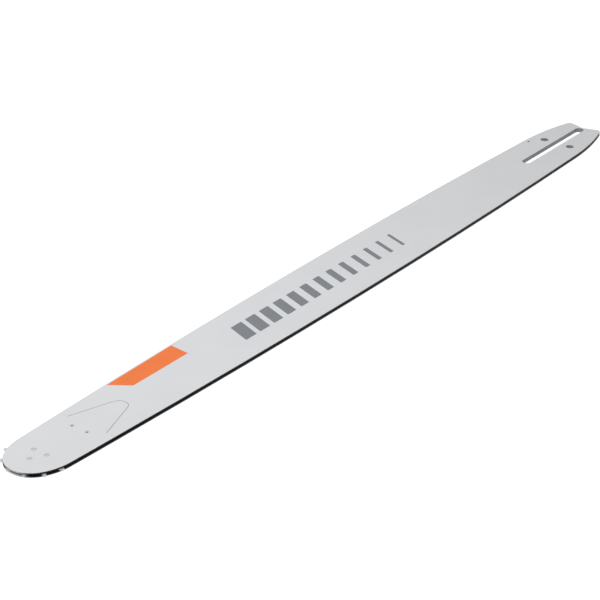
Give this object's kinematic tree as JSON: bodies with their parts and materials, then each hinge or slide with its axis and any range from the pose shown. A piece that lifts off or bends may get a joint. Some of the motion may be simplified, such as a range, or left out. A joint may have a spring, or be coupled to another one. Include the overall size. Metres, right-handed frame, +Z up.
{
  "type": "chainsaw guide bar",
  "caption": "Long flat steel guide bar with a round sprocket nose, a chain groove along its edges and a slotted tail with tensioner holes that mounts it on a saw.",
  "frame": {"origin": "on the stud slot's centreline, level with the two tensioner holes, on the lower clamp face", "axes": "+X along the bar from the saw mount to the nose, +Y across the bar, +Z up through its thickness"},
  "size_m": [0.7791, 0.0656, 0.004],
  "materials": {
    "bar_lacquer": "satin",
    "sprocket_steel": "ground and hardened",
    "bearing_steel": "polished",
    "rivet_steel": "satin"
  },
  "bodies": {
    "bar": {"bar_body": "bar_lacquer", "nose_plate_lower": "bar_lacquer", "nose_plate_upper": "bar_lacquer", "bearing_inner_race": "bearing_steel", "bearing_rivets": "rivet_steel", "nose_rivets": "rivet_steel"},
    "sprocket": {"nose_sprocket": "sprocket_steel"},
    "roller_ring": {"roller_01": "bearing_steel", "roller_02": "bearing_steel", "roller_03": "bearing_steel", "roller_04": "bearing_steel", "roller_05": "bearing_steel", "roller_06": "bearing_steel", "roller_07": "bearing_steel", "roller_08": "bearing_steel", "roller_09": "bearing_steel", "roller_10": "bearing_steel", "roller_11": "bearing_steel", "roller_12": "bearing_steel", "roller_13": "bearing_steel", "roller_14": "bearing_steel", "roller_15": "bearing_steel", "roller_16": "bearing_steel", "roller_17": "bearing_steel", "roller_18": "bearing_steel"}
  },
  "joints": [
    {"name": "sprocket_spin", "type": "hinge", "parent": "bar", "child": "sprocket", "pos_m": [0.7018, 0, 0.002], "axis": [0, 0, 1], "continuous": true},
    {"name": "roller_orbit", "type": "hinge", "parent": "bar", "child": "roller_ring", "pos_m": [0.7018, 0, 0.002], "axis": [0, 0, 1], "continuous": true}
  ],
  "couplings": [
    {"joint": "roller_orbit", "follows": "sprocket_spin", "ratio": 0.58164}
  ]
}
